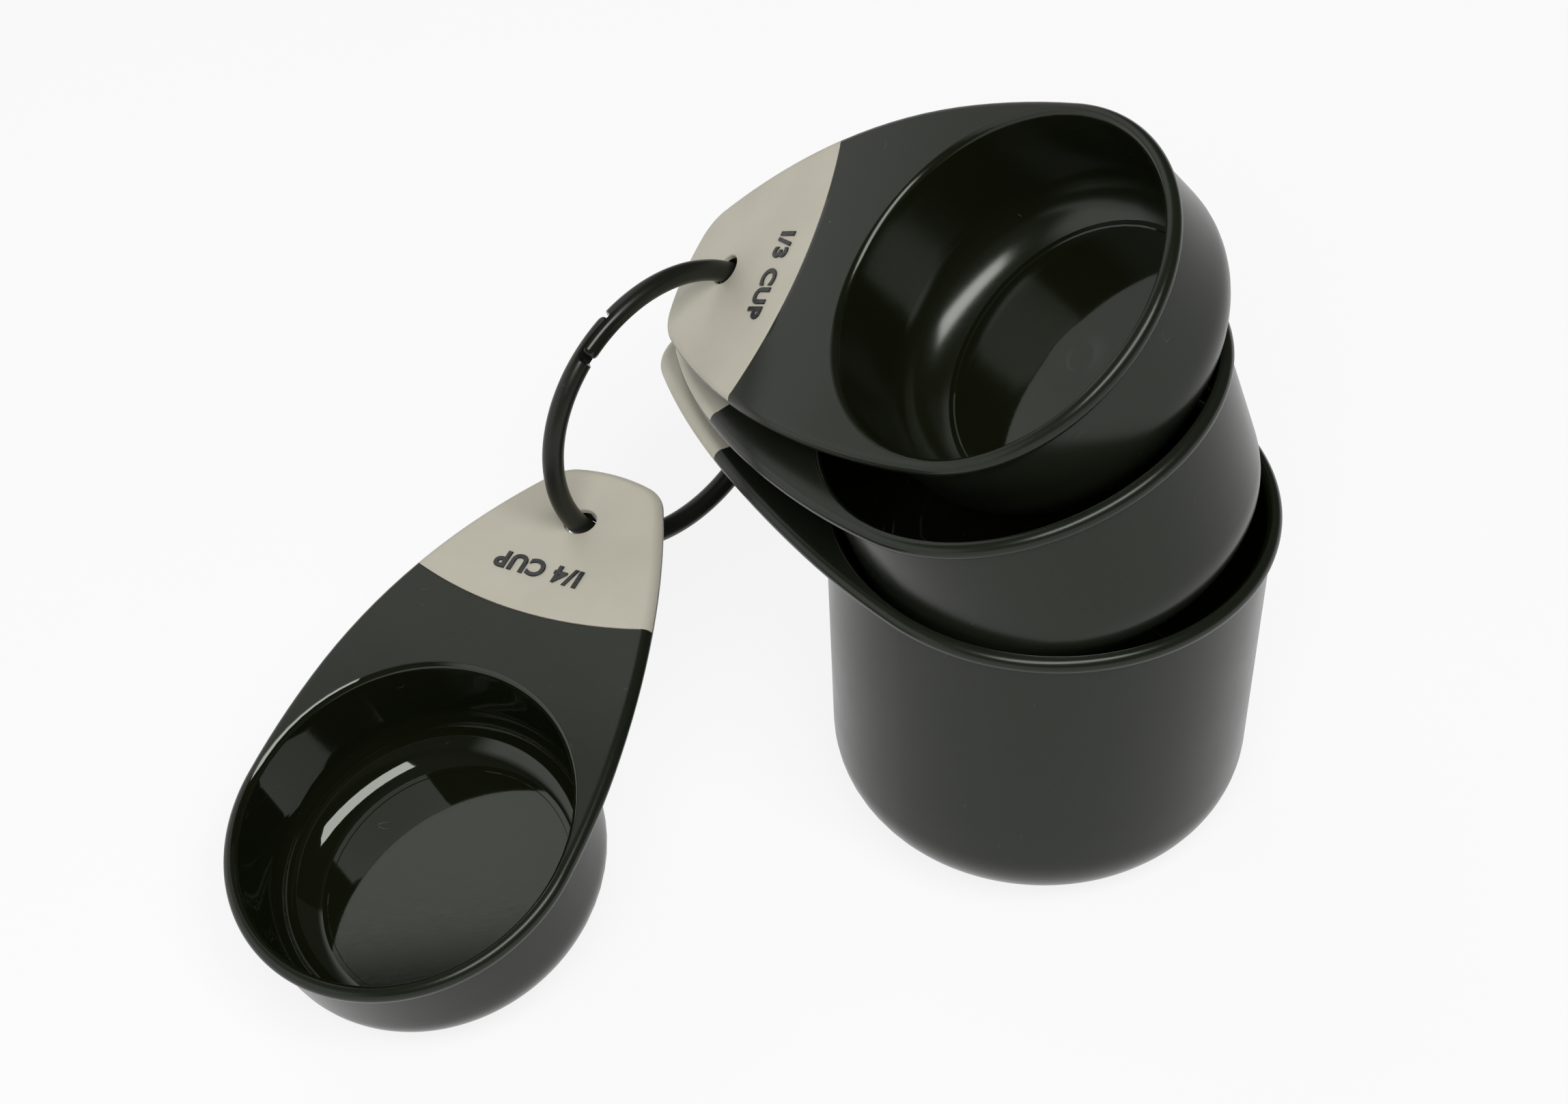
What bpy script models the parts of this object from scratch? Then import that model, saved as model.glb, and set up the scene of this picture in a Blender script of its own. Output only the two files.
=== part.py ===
"""Set of four nesting measuring cups on one split carrier ring.

Each cup is a turned bowl with a flat rim that runs out into a drooping handle.
A soft overmould caps the tip of the handle, and a hole there takes the ring.
Lengths are in metres, +Z is up, and the origin is the middle of the base of the
largest cup, which stands on the table.
"""
import math
from collections import namedtuple

import bmesh
import bpy
from mathutils import Matrix, Vector

MM = 0.001

# Bowl and rim, alike on all four cups
WALL = 1.4 * MM
FLOOR = 2.8 * MM
TAPER = math.radians(2.1)
LIP_ROUND = 0.9 * MM
LIP_SINK = 0.8 * MM
RIM_WIDTH = 2.6 * MM
EDGE = 3.2 * MM

# Handle: plan outline of tangent arcs, and the droop of its tip
TIP_REACH = 12.2 * MM
TIP_CORNER = 7.2 * MM
TIP_CORNER_OFFSET = 5.3 * MM
TIP_BOW = 0.6 * MM
SIDE_RADIUS = 133.4 * MM
OUTLINE_GROWTH = 0.92
DROOP = 4.5 * MM
DROOP_START = 21.3 * MM
DROOP_REACH = 64.1 * MM

# Grip: a cap of soft material over the tip, with a seam bowed towards the bowl
GRIP_THICKNESS = 1.0 * MM
GRIP_SKIRT = 2.7 * MM
SEAM_RADIUS = 78.7 * MM
SEAM_CENTRE_BEYOND_HOLE = 58.5 * MM
GAP = 0.3 * MM

# Hole in the handle, waisted so that the ring can lean in it
HOLE_RADIUS = 2.8 * MM
HOLE_FLARE = 0.7 * MM

# Carrier ring: its tube, its axis, and the half lap of its snap joint
RING_RADIUS = 25.3 * MM
RING_TUBE = 1.84 * MM
RING_AXIS_AZIMUTH = math.radians(-47.9)
RING_AXIS_RISE = math.radians(6.2)
LAP_MIDDLE = math.radians(31.3)
LAP_SPAN = math.radians(19.5)
LAP_SLIT = 0.35 * MM

# How finely round shapes are divided
BOWL_STEPS = 40
RIM_POINTS = 18
SIDE_POINTS = 6
CORNER_POINTS = 5
TIP_POINTS = 2
BEND_STATIONS = 12
RING_STEPS = 64
TUBE_STEPS = 10

# One row for each cup. Angles of the handle are in degrees: azimuth about +Z, pitch with
# the tip going down, and roll about the handle. The ring angle is where its hole rides, and
# the ring slack is how far the ring runs from the hole's middle, towards the bowl.
Cup = namedtuple("Cup", ("name", "lip_radius", "height", "base_round", "hole_reach",
                         "azimuth", "pitch", "roll", "ring_angle", "ring_slack"))
ONE = Cup("one_cup", 36.1 * MM, 65.4 * MM, 15.0 * MM, 64.1 * MM, 135.5, 0.0, 0.0, -94.0, 0.4 * MM)
HALF = Cup("half_cup", 33.8 * MM, 36.3 * MM, 12.6 * MM, 64.6 * MM, 132.6, 14.65, -12.4, -73.75, 0.23 * MM)
THIRD = Cup("third_cup", 31.5 * MM, 28.0 * MM, 12.0 * MM, 64.9 * MM, 141.3, 23.6, -30.0, -41.65, 0.0)
QUARTER = Cup("quarter_cup", 29.6 * MM, 24.8 * MM, 10.9 * MM, 62.9 * MM, 62.9, -19.75, -8.7, 124.4, 0.0)
CUPS = (ONE, HALF, THIRD, QUARTER)


def clear_scene():
    for item in list(bpy.data.objects):
        bpy.data.objects.remove(item, do_unlink=True)


def new_collection(name):
    collection = bpy.data.collections.new(name)
    bpy.context.scene.collection.children.link(collection)
    return collection


def make_material(name, colour, roughness):
    material = bpy.data.materials.new(name)
    material.use_nodes = True
    shader = material.node_tree.nodes["Principled BSDF"]
    shader.inputs["Base Color"].default_value = (*colour, 1.0)
    shader.inputs["Roughness"].default_value = roughness
    shader.inputs["Metallic"].default_value = 0.0
    return material


def add_object(name, data, collection):
    item = bpy.data.objects.new(name, data)
    collection.objects.link(item)
    return item


def as_cutter(item):
    item.hide_render = True
    item.display_type = "WIRE"
    return item


def combine(item, other, operation):
    modifier = item.modifiers.new(operation.lower() + "_" + other.name, "BOOLEAN")
    modifier.operation = operation
    modifier.solver = "EXACT"
    modifier.object = other


def arc(centre, radius, start, end, count):
    """Points along an arc, without its first point."""
    points = []
    for step in range(1, count + 1):
        angle = start + (end - start) * step / count
        points.append((centre[0] + radius * math.cos(angle), centre[1] + radius * math.sin(angle)))
    return points


def droop(x):
    """Height of the handle's top below the rim at a distance from the bowl's axis."""
    run = max(x - DROOP_START, 0.0) / (DROOP_REACH - DROOP_START)
    return -DROOP * run * run


def droop_slope(x):
    run = max(x - DROOP_START, 0.0) / (DROOP_REACH - DROOP_START)
    return -2.0 * DROOP * run / (DROOP_REACH - DROOP_START)


def rim_radius(cup):
    return cup.lip_radius + RIM_WIDTH


def plan_outline(cup, inset):
    """Teardrop outline of rim and handle: rim, side, corner and tip arcs, each tangent to the next."""
    growth = OUTLINE_GROWTH * (rim_radius(cup) - rim_radius(QUARTER))
    rim = rim_radius(cup)
    side = SIDE_RADIUS + growth
    corner = TIP_CORNER + growth
    tip_x = cup.hole_reach + TIP_REACH + growth
    corner_centre = Vector((tip_x - corner - TIP_BOW, TIP_CORNER_OFFSET))
    tip = (2.0 * corner * TIP_BOW + TIP_BOW ** 2 + TIP_CORNER_OFFSET ** 2) / (2.0 * TIP_BOW)
    tip_centre = Vector((tip_x - tip, 0.0))

    # The side arc's centre is side - rim from the bowl's axis and side - corner from the corner's centre.
    reach = corner_centre.length
    along = ((side - rim) ** 2 - (side - corner) ** 2 + reach ** 2) / (2.0 * reach)
    across = math.sqrt((side - rim) ** 2 - along ** 2)
    heading = corner_centre / reach
    side_centre = heading * along + Vector((heading.y, -heading.x)) * across

    rim_end = math.atan2(-side_centre.y, -side_centre.x)
    to_corner = corner_centre - side_centre
    side_end = math.atan2(to_corner.y, to_corner.x)
    from_tip = corner_centre - tip_centre
    corner_end = math.atan2(from_tip.y, from_tip.x)

    half = [(inset - rim, 0.0)]
    half += arc((0.0, 0.0), rim - inset, math.pi, rim_end, RIM_POINTS)
    half += arc(side_centre, side - inset, rim_end, side_end, SIDE_POINTS)
    half += arc(corner_centre, corner - inset, side_end, corner_end, CORNER_POINTS)
    half += arc(tip_centre, tip - inset, corner_end, 0.0, TIP_POINTS)
    return half + [(x, -y) for x, y in half[-2:0:-1]]


def plate_mesh(name, cup, inset, top, bottom, rounding):
    """Plate with the cup's outline, moved in by inset, with rounded edges, bent down along the handle."""
    outline = plan_outline(cup, inset + rounding)
    curve = bpy.data.curves.new(name + "_outline", "CURVE")
    curve.dimensions = "2D"
    curve.fill_mode = "BOTH"
    curve.extrude = (top - bottom) / 2.0 - rounding
    curve.bevel_depth = rounding
    curve.bevel_resolution = 1
    spline = curve.splines.new("POLY")
    spline.points.add(len(outline) - 1)
    for point, (x, y) in zip(spline.points, outline):
        point.co = (x, y, 0.0, 1.0)
    spline.use_cyclic_u = True
    guide = bpy.data.objects.new(name + "_outline", curve)
    bpy.context.scene.collection.objects.link(guide)
    depsgraph = bpy.context.evaluated_depsgraph_get()
    mesh = bpy.data.meshes.new_from_object(guide.evaluated_get(depsgraph))
    mesh.name = name
    bpy.data.objects.remove(guide, do_unlink=True)

    shape = bmesh.new()
    shape.from_mesh(mesh)
    bmesh.ops.remove_doubles(shape, verts=shape.verts, dist=1e-6)
    flat = [face for face in shape.faces if abs(face.normal.z) > 0.9999]
    flat_edges = [edge for edge in shape.edges if all(face in flat for face in edge.link_faces)]
    bmesh.ops.dissolve_edges(shape, edges=flat_edges, use_verts=False)
    far_x = max(vert.co.x for vert in shape.verts)
    for station in range(BEND_STATIONS):
        cut_x = DROOP_START + (far_x - DROOP_START) * station / BEND_STATIONS
        geometry = shape.verts[:] + shape.edges[:] + shape.faces[:]
        bmesh.ops.bisect_plane(shape, geom=geometry, dist=1e-6, plane_co=(cut_x, 0.0, 0.0),
                               plane_no=(1.0, 0.0, 0.0))
    middle = (top + bottom) / 2.0
    for vert in shape.verts:
        vert.co.z += middle + droop(vert.co.x)
    bmesh.ops.triangulate(shape, faces=[face for face in shape.faces if len(face.verts) > 4])
    bmesh.ops.recalc_face_normals(shape, faces=shape.faces)
    shape.to_mesh(mesh)
    shape.free()
    return mesh


def turned(name, profile, steps, collection):
    """Solid of revolution about Z from a profile that runs down its outer side."""
    mesh = bpy.data.meshes.new(name)
    edges = [(index, index + 1) for index in range(len(profile) - 1)]
    mesh.from_pydata([(radius, 0.0, z) for radius, z in profile], edges, [])
    item = add_object(name, mesh, collection)
    screw = item.modifiers.new("turn", "SCREW")
    screw.axis = "Z"
    screw.angle = math.tau
    screw.steps = steps
    screw.render_steps = steps
    screw.use_merge_vertices = True
    screw.merge_threshold = 1e-6
    return as_cutter(item)


def base_corner(cup):
    """Centre of the arc between the wall and the base, as radius and height."""
    z = cup.base_round - cup.height
    return cup.lip_radius + WALL + z * math.tan(TAPER) - cup.base_round / math.cos(TAPER), z


def bowl_outside(cup, collection):
    start = -EDGE / 2.0
    centre = base_corner(cup)
    profile = [(0.0, start), (cup.lip_radius + WALL + start * math.tan(TAPER), start)]
    profile += [(centre[0] + cup.base_round * math.cos(TAPER),
                 centre[1] - cup.base_round * math.sin(TAPER))]
    profile += arc(centre, cup.base_round, -TAPER, -math.pi / 2.0, 5)
    profile += [(0.0, -cup.height)]
    return turned(cup.name + "_outside", profile, BOWL_STEPS, collection)


def bowl_inside(cup, collection):
    """Space in the bowl: a rounded lip, the wall, a hollow corner, and a flat floor that cuts it off."""
    centre = base_corner(cup)
    inner_round = cup.base_round - WALL * math.cos(TAPER)
    floor_angle = math.asin((cup.base_round - FLOOR) / inner_round)
    lip_top = 3.0 * MM
    lip_centre = (cup.lip_radius + LIP_ROUND, -LIP_SINK)
    lip_start = math.pi - math.asin(0.97)
    profile = [(0.0, lip_top)]
    lip_x = lip_centre[0] + LIP_ROUND * math.cos(lip_start)
    profile += [(lip_x, lip_top), (lip_x, lip_centre[1] + LIP_ROUND * math.sin(lip_start))]
    profile += arc(lip_centre, LIP_ROUND, lip_start, math.pi, 3)
    profile += [(centre[0] + inner_round * math.cos(TAPER), centre[1] - inner_round * math.sin(TAPER))]
    profile += arc(centre, inner_round, -TAPER, -floor_angle, 5)
    profile += [(0.0, FLOOR - cup.height)]
    return turned(cup.name + "_inside", profile, BOWL_STEPS, collection)


def hole_cutter(cup, collection):
    """Waisted pin that stands square to the drooping handle."""
    half = EDGE / 2.0
    wide = HOLE_RADIUS + HOLE_FLARE
    over = 2.0 * MM
    profile = [(0.0, half + over), (wide, half + over), (wide, half), (HOLE_RADIUS, half - HOLE_FLARE)]
    profile += [(HOLE_RADIUS, HOLE_FLARE - half), (wide, -half), (wide, -half - over), (0.0, -half - over)]
    item = turned(cup.name + "_hole", profile, 20, collection)
    item.location = hole_centre(cup)
    item.rotation_euler = (0.0, math.atan(-droop_slope(cup.hole_reach)), 0.0)
    return item


def hole_centre(cup):
    """Middle of the hole in the cup's own frame, whose origin is the middle of the rim's top."""
    return Vector((cup.hole_reach, 0.0, droop(cup.hole_reach) - EDGE / 2.0))


def ring_seat(cup):
    """Where the ring runs through the hole, in the cup's own frame."""
    return hole_centre(cup) - Vector((cup.ring_slack, 0.0, 0.0))


def grip_zone(cup, radius, name, collection):
    """Upright cylinder whose near side is the seam between handle and grip."""
    tall = 20.0 * MM
    profile = [(0.0, tall), (radius, tall), (radius, -tall), (0.0, -tall)]
    item = turned(name, profile, 160, collection)
    item.location = (cup.hole_reach + SEAM_CENTRE_BEYOND_HOLE, 0.0, 0.0)
    return item


def grip_pocket(cup, collection):
    """What is cut from the handle's tip to seat the grip: all but a core and a ledge under the skirt."""
    margin = -4.0 * MM
    slab = plate_mesh(cup.name + "_pocket", cup, margin, 6.0 * MM, -GRIP_SKIRT - GAP, 0.1 * MM)
    pocket = as_cutter(add_object(cup.name + "_pocket", slab, collection))
    clear = GRIP_THICKNESS + GAP
    core = plate_mesh(cup.name + "_core", cup, clear, -clear, -9.0 * MM, 0.3 * MM)
    for other, operation in (
        (grip_zone(cup, SEAM_RADIUS + GAP, cup.name + "_pocket_zone", collection), "INTERSECT"),
        (as_cutter(add_object(cup.name + "_core", core, collection)), "DIFFERENCE"),
    ):
        combine(pocket, other, operation)
        other.parent = pocket
    return pocket


def finish(item, material, angle=35.0):
    item.data.materials.clear()
    item.data.materials.append(material)
    item.data.shade_smooth()
    item.data.set_sharp_from_angle(angle=math.radians(angle))


def make_cup(cup, parts, cutters, material):
    plate = plate_mesh(cup.name, cup, 0.0, 0.0, -EDGE, EDGE / 2.0)
    body = add_object(cup.name, plate, parts)
    finish(body, material)
    for other, operation in (
        (bowl_outside(cup, cutters), "UNION"),
        (bowl_inside(cup, cutters), "DIFFERENCE"),
        (grip_pocket(cup, cutters), "DIFFERENCE"),
        (hole_cutter(cup, cutters), "DIFFERENCE"),
    ):
        combine(body, other, operation)
        other.parent = body
    return body


def make_grip(cup, body, parts, cutters, material):
    name = cup.name + "_grip"
    shell = plate_mesh(name, cup, 0.0, 0.0, -EDGE, EDGE / 2.0)
    grip = add_object(name, shell, parts)
    finish(grip, material)
    grip.parent = body
    under = plate_mesh(name + "_under", cup, -4.0 * MM, -GRIP_SKIRT, -12.0 * MM, 0.1 * MM)
    inner = plate_mesh(name + "_inner", cup, GRIP_THICKNESS, -GRIP_THICKNESS, -12.0 * MM, 0.3 * MM)
    for other, operation in (
        (grip_zone(cup, SEAM_RADIUS, name + "_zone", cutters), "INTERSECT"),
        (as_cutter(add_object(name + "_under", under, cutters)), "DIFFERENCE"),
        (as_cutter(add_object(name + "_inner", inner, cutters)), "DIFFERENCE"),
        (bpy.data.objects[cup.name + "_hole"], "DIFFERENCE"),
    ):
        combine(grip, other, operation)
        other.parent = body
    return grip


def cup_turn(cup):
    azimuth = Matrix.Rotation(math.radians(cup.azimuth), 4, "Z")
    pitch = Matrix.Rotation(math.radians(cup.pitch), 4, "Y")
    roll = Matrix.Rotation(math.radians(cup.roll), 4, "X")
    return azimuth @ pitch @ roll


def ring_frame():
    """Axes of the ring: its own axis along Z, with ring angle 0 straight up and running towards Y."""
    level = math.cos(RING_AXIS_RISE)
    axis = Vector((level * math.cos(RING_AXIS_AZIMUTH), level * math.sin(RING_AXIS_AZIMUTH),
                   math.sin(RING_AXIS_RISE)))
    up = (Vector((0.0, 0.0, 1.0)) - axis * axis.z).normalized()
    return Matrix((up, axis.cross(up), axis)).transposed().to_4x4()


def ring_point(angle):
    return Vector((RING_RADIUS * math.cos(angle), RING_RADIUS * math.sin(angle), 0.0))


def ring_placement():
    """The ring runs through the largest cup's hole, and the other cups hang on the ring."""
    frame = ring_frame()
    seat = Matrix.Translation((0.0, 0.0, ONE.height)) @ cup_turn(ONE) @ ring_seat(ONE)
    centre = seat - frame @ ring_point(math.radians(ONE.ring_angle))
    return Matrix.Translation(centre) @ frame


def cup_placement(cup):
    seat = ring_placement() @ ring_point(math.radians(cup.ring_angle))
    turn = cup_turn(cup)
    return Matrix.Translation(seat - turn @ ring_seat(cup)) @ turn


def lap_cutter(collection):
    """Thin Z-shaped slit: in from outside, along the middle of the tube, and out inside."""
    reach = RING_TUBE * 1.5
    half = LAP_SLIT / 2.0
    start = LAP_MIDDLE - LAP_SPAN / 2.0
    end = LAP_MIDDLE + LAP_SPAN / 2.0
    width = LAP_SLIT / RING_RADIUS
    outline = arc((0.0, 0.0), RING_RADIUS + half, start + width, end, 8)
    outline += [(math.cos(end) * (RING_RADIUS - reach), math.sin(end) * (RING_RADIUS - reach))]
    outline += arc((0.0, 0.0), RING_RADIUS - reach, end, end - width, 1)
    outline += arc((0.0, 0.0), RING_RADIUS - half, end - width, start, 8)
    outline += [(math.cos(start) * (RING_RADIUS + reach), math.sin(start) * (RING_RADIUS + reach))]
    outline += arc((0.0, 0.0), RING_RADIUS + reach, start, start + width, 1)
    outline += arc((0.0, 0.0), RING_RADIUS + half, start + width, start + width, 1)
    shape = bmesh.new()
    face = shape.faces.new([shape.verts.new((x, y, -reach)) for x, y in outline])
    raised = bmesh.ops.extrude_face_region(shape, geom=[face])
    for vert in raised["geom"]:
        if isinstance(vert, bmesh.types.BMVert):
            vert.co.z = reach
    bmesh.ops.recalc_face_normals(shape, faces=shape.faces)
    mesh = bpy.data.meshes.new("ring_lap")
    shape.to_mesh(mesh)
    shape.free()
    return as_cutter(add_object("ring_lap", mesh, collection))


def make_ring(parts, cutters, material):
    bpy.ops.mesh.primitive_torus_add(major_radius=RING_RADIUS, minor_radius=RING_TUBE,
                                     major_segments=RING_STEPS, minor_segments=TUBE_STEPS)
    ring = bpy.context.object
    ring.name = "carrier_ring"
    ring.data.name = "carrier_ring"
    for collection in list(ring.users_collection):
        collection.objects.unlink(ring)
    parts.objects.link(ring)
    lap = lap_cutter(cutters)
    lap.parent = ring
    combine(ring, lap, "DIFFERENCE")
    finish(ring, material)
    return ring


def add_pivot(name, collection):
    """Empty on the ring's axis, about which a cup swings round the ring."""
    pivot = bpy.data.objects.new(name, None)
    collection.objects.link(pivot)
    pivot.empty_display_size = RING_RADIUS
    pivot.matrix_world = ring_placement()
    return pivot


def main():
    clear_scene()
    parts = new_collection("measuring_cup_set")
    cutters = new_collection("cutters")
    black = make_material("black_cup_plastic", (0.045, 0.047, 0.042), 0.45)
    beige = make_material("beige_grip_elastomer", (0.46, 0.44, 0.36), 0.6)
    ring_black = make_material("black_ring_plastic", (0.04, 0.042, 0.038), 0.4)

    ring = make_ring(parts, cutters, ring_black)
    ring.matrix_world = ring_placement()
    for cup in CUPS:
        body = make_cup(cup, parts, cutters, black)
        make_grip(cup, body, parts, cutters, beige)
        if cup is ONE:
            body.matrix_world = Matrix.Translation((0.0, 0.0, cup.height)) @ cup_turn(cup)
            continue
        pivot = add_pivot(cup.name + "_pivot", parts)
        body.parent = pivot
        body.matrix_parent_inverse = Matrix.Identity(4)
        body.matrix_basis = ring_placement().inverted() @ cup_placement(cup)


main()
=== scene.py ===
"""Looks of the measuring cup set: fine meshes of the cups, grips and ring, their finishes, and the stage.

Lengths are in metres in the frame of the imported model: +Z up, the origin in the middle of the
largest cup's base, and the camera looking along +Y.
"""

import math
from collections import namedtuple

import bmesh
import bpy
from mathutils import Matrix, Vector


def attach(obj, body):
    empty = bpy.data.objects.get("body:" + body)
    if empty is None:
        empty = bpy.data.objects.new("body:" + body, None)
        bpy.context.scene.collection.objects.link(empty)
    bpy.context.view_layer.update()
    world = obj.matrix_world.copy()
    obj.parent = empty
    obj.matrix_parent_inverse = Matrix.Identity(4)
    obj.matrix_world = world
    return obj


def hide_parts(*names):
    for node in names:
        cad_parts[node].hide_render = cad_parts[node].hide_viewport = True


MM = 0.001

# Photograph's frame and the camera that took it
IMAGE_WIDTH = 2296
FOCAL_PIXELS = 7176.0
SENSOR_WIDTH = 36.0
CAMERA_PLACE = (-44.28 * MM, -594.1 * MM, 624.4 * MM)
CAMERA_TILT = math.radians(46.124)
CAMERA_REACH = 20.0

# Bowl and rim, as in the solids
WALL = 1.4 * MM
TAPER = math.radians(2.1)
RIM_WIDTH = 2.6 * MM
EDGE = 3.2 * MM
EDGE_ROUND = EDGE / 2.0

# Fine forms of the bowl that the solids leave out: the lip, the witness line beside it, the ledge
# round the floor and the round gate mark in its middle
LIP_RADIUS = 2.2 * MM
LIP_LOW = math.radians(28.0)
LIP_HIGH = math.radians(60.0)
LIP_FOOT_RADIUS = 0.6 * MM
LIP_BLEND = 8.0 * MM
WITNESS_START = 0.95 * MM
WITNESS_WIDTH = 0.1 * MM
WITNESS_DEPTH = 0.04 * MM
LEDGE_WIDTH = 0.9 * MM
LEDGE_DROP = 0.14 * MM
LEDGE_INNER_STRIP = 0.1 * MM
LEDGE_OUTER_STRIP = 0.05 * MM
GATE_RADIUS = 2.9 * MM
GATE_WIDTH = 0.3 * MM
GATE_START = 0.6 * GATE_RADIUS
GROOVE_SHARES = (0.7, 0.3)
FLOOR_SHARES = (0.3, 0.55, 0.8, 0.95, 1.0)
BASE_SHARES = (0.95, 0.7, 0.35)

# Handle outline and droop, as in the solids
TIP_REACH = 12.2 * MM
TIP_CORNER = 7.2 * MM
TIP_CORNER_OFFSET = 5.3 * MM
TIP_BOW = 0.6 * MM
SIDE_RADIUS = 133.4 * MM
OUTLINE_GROWTH = 0.92
DROOP = 4.5 * MM
DROOP_START = 21.3 * MM
DROOP_REACH = 64.1 * MM

# Grip over the handle's tip. The seam's round and the skirt's gap are thin grooves beside the cup.
SEAM_RADIUS = 78.7 * MM
SEAM_CENTRE_BEYOND_HOLE = 58.5 * MM
SEAM_SLACK = 0.04 * MM
SEAM_ROUND = 0.14 * MM
SEAM_SHOULDER = 0.3
GRIP_THICKNESS = 1.0 * MM
GRIP_SLACK = 0.03 * MM
SKIRT_GAP = math.radians(3.0)
SKIRT_STEP = SKIRT_GAP / 3.0
EDGE_END = math.radians(-80.0)

# Hole through the handle, and the pin that cuts it
HOLE_RADIUS = 2.75 * MM
HOLE_ROUND = 0.45 * MM
PIN_OVER = 1.5 * MM
PIN_FLARE = 0.3 * MM
PIN_ARC_START = math.radians(97.0)

# Carrier ring, its place as in the solids, and its snap lap
RING_RADIUS = 25.3 * MM
RING_TUBE = 1.84 * MM
RING_AXIS_AZIMUTH = math.radians(-47.9)
RING_AXIS_RISE = math.radians(6.2)
LAP_MIDDLE = math.radians(31.3)
LAP_SPAN = math.radians(19.5)
BACK_NOTCH = math.radians(1.5)
FRONT_NOTCH = math.radians(2.7)
LAP_SPLIT = 0.3 * MM
LAP_GAP = 0.05 * MM
SHOULDER_ROUND = math.radians(1.3)
END_ROUND = math.radians(2.4)
END_SHARE = 0.55

# Lettering raised through the grip. Capitals are about 0.7 of the font's size.
LETTER_HEIGHT = 3.3 * MM
CAPITAL_SHARE = 0.7
LETTER_SPACING = 1.12
LETTER_SWELL = 0.09 * MM
LETTER_RISE = 0.3 * MM
LETTER_BEVEL = 0.1 * MM
LETTER_BEVEL_STEPS = 2
LETTER_PLACE = 51.75 * MM
LETTER_SIDE = 1.4 * MM

# How finely shapes are divided
LIP_FOOT_STEPS = 3
LIP_STEPS = 6
WALL_STEPS = 7
HOLLOW_STEPS = 14
OUTSIDE_STEPS = 6
BASE_STEPS = 14
TOP_STEPS = 13
GRIP_STEPS = 18
EDGE_STEPS = 12
LOWER_EDGE_STEPS = 10
UNDER_STEPS = 12
TIP_POINTS = 7
CORNER_POINTS = 19
GRIP_SIDE_POINTS = 19
BARE_SIDE_POINTS = 15
RIM_POINTS = 56
PIN_STEPS = 64
PIN_ARC_STEPS = 7
RING_STEPS = 320
LAP_STEPS = 60
END_STEPS = 14
TUBE_STEPS = 36
MERGE_DISTANCE = 1e-7
CREASE = math.radians(24.0)
RING_CREASE = math.radians(32.0)

# Which of a cup's finishes each stretch of its section takes
FLOOR_FINISH, OUTSIDE_FINISH, CORNER_FINISH, WALL_FINISH = range(4)

# Inside of a bowl: thickness of the floor, radius of the hollow corner, draft of the wall in degrees,
# width of the slope down to the floor, and depth of the round gate mark
Inside = namedtuple("Inside", "floor hollow draft slope gate")

# One row for each cup, as in the solids, with its body, its mark, its inside, and how far round the
# handle's edge its grip reaches, in degrees above the middle of the edge. Each one in a mark is a
# capital I, because the cups' ones are plain strokes.
Cup = namedtuple("Cup", "name body label inside skirt lip_radius height base_round hole_reach "
                        "azimuth pitch roll ring_angle ring_slack")
ONE = Cup("one_cup", "one", "I CUP",
          Inside(2.8 * MM, 13.6 * MM, 2.1, 0.12 * MM, 0.002 * MM), -40.0,
          36.1 * MM, 65.4 * MM, 15.0 * MM, 64.1 * MM, 135.5, 0.0, 0.0, -94.0, 0.4 * MM)
HALF = Cup("half_cup", "half", "I/2 CUP",
           Inside(2.8 * MM, 11.2 * MM, 2.1, 0.12 * MM, 0.002 * MM), 20.0,
           33.8 * MM, 36.3 * MM, 12.6 * MM, 64.6 * MM, 132.6, 14.65, -12.4, -73.75, 0.23 * MM)
THIRD = Cup("third_cup", "third", "I/3 CUP",
            Inside(3.05 * MM, 10.1 * MM, 0.8, 0.24 * MM, 0.004 * MM), 32.0,
            31.5 * MM, 28.0 * MM, 12.0 * MM, 64.9 * MM, 141.3, 23.6, -30.0, -41.65, 0.0)
QUARTER = Cup("quarter_cup", "quarter", "I/4 CUP",
              Inside(2.24 * MM, 9.0 * MM, 1.0, 0.1 * MM, 0.0), 4.0,
              29.6 * MM, 24.8 * MM, 10.9 * MM, 62.9 * MM, 62.9, -19.75, -8.7, 124.4, 0.0)
CUPS = (ONE, HALF, THIRD, QUARTER)

# A point of the plan outline: it can be moved in along the arc's radius
OutlinePoint = namedtuple("OutlinePoint", "centre radius angle gripped")

# Colours and tints of the finishes, the dust and lint on them, and the smooth spot at the ring's lap
BLACK_GLOSS = (0.007, 0.0083, 0.0038)
BLACK_SATIN = (0.0098, 0.0116, 0.0073)
BLACK_RING = (0.0088, 0.0096, 0.0068)
BLACK_LETTER = (0.009, 0.0095, 0.009)
BEIGE = (0.505, 0.479, 0.395)
DUST = (0.12, 0.118, 0.10)
PALE_DUST = (0.72, 0.71, 0.66)
GLOSS_TINT = (0.955, 1.0, 0.92)
SATIN_TINT = (0.975, 1.0, 0.945)
GRAIN_LIGHTENING = 1.2
MOTTLE_DARKENING = 0.95
SPECK_SIZE = 0.02
LINT_WIDTH = 0.0025
LINT_PATCH_SCALE = 0.9
LINT_PATCH_STRETCH = (1.0, 1.0, 1.3)
WORN_CORE = 3.5 * MM
WORN_REACH = 7.5 * MM
WORN_ROUGHNESS = 0.17

# White floor, a little under the cups so that no faces share its plane
FLOOR_SIZE = 16.0
FLOOR_GAP = 0.05 * MM
FLOOR_TONE = 0.9
FLOOR_GLOW = 0.85

# Brightness of the room, and where along the view direction's axes it changes
ROOM_TONE = 0.06
WALL_LOW = 0.7
WALL_HIGH = 1.4
LEFT_TONE = 1.2
RIGHT_SHARE = 0.06
WALL_EDGE = (0.276, 0.29)
WALL_RISE = (0.35, 0.8)
RIGHT_FADE = (-0.35, 0.05)
LEFT_EDGE = (-0.8, -0.6)
LEFT_FALL = (0.35, 0.6)

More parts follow.
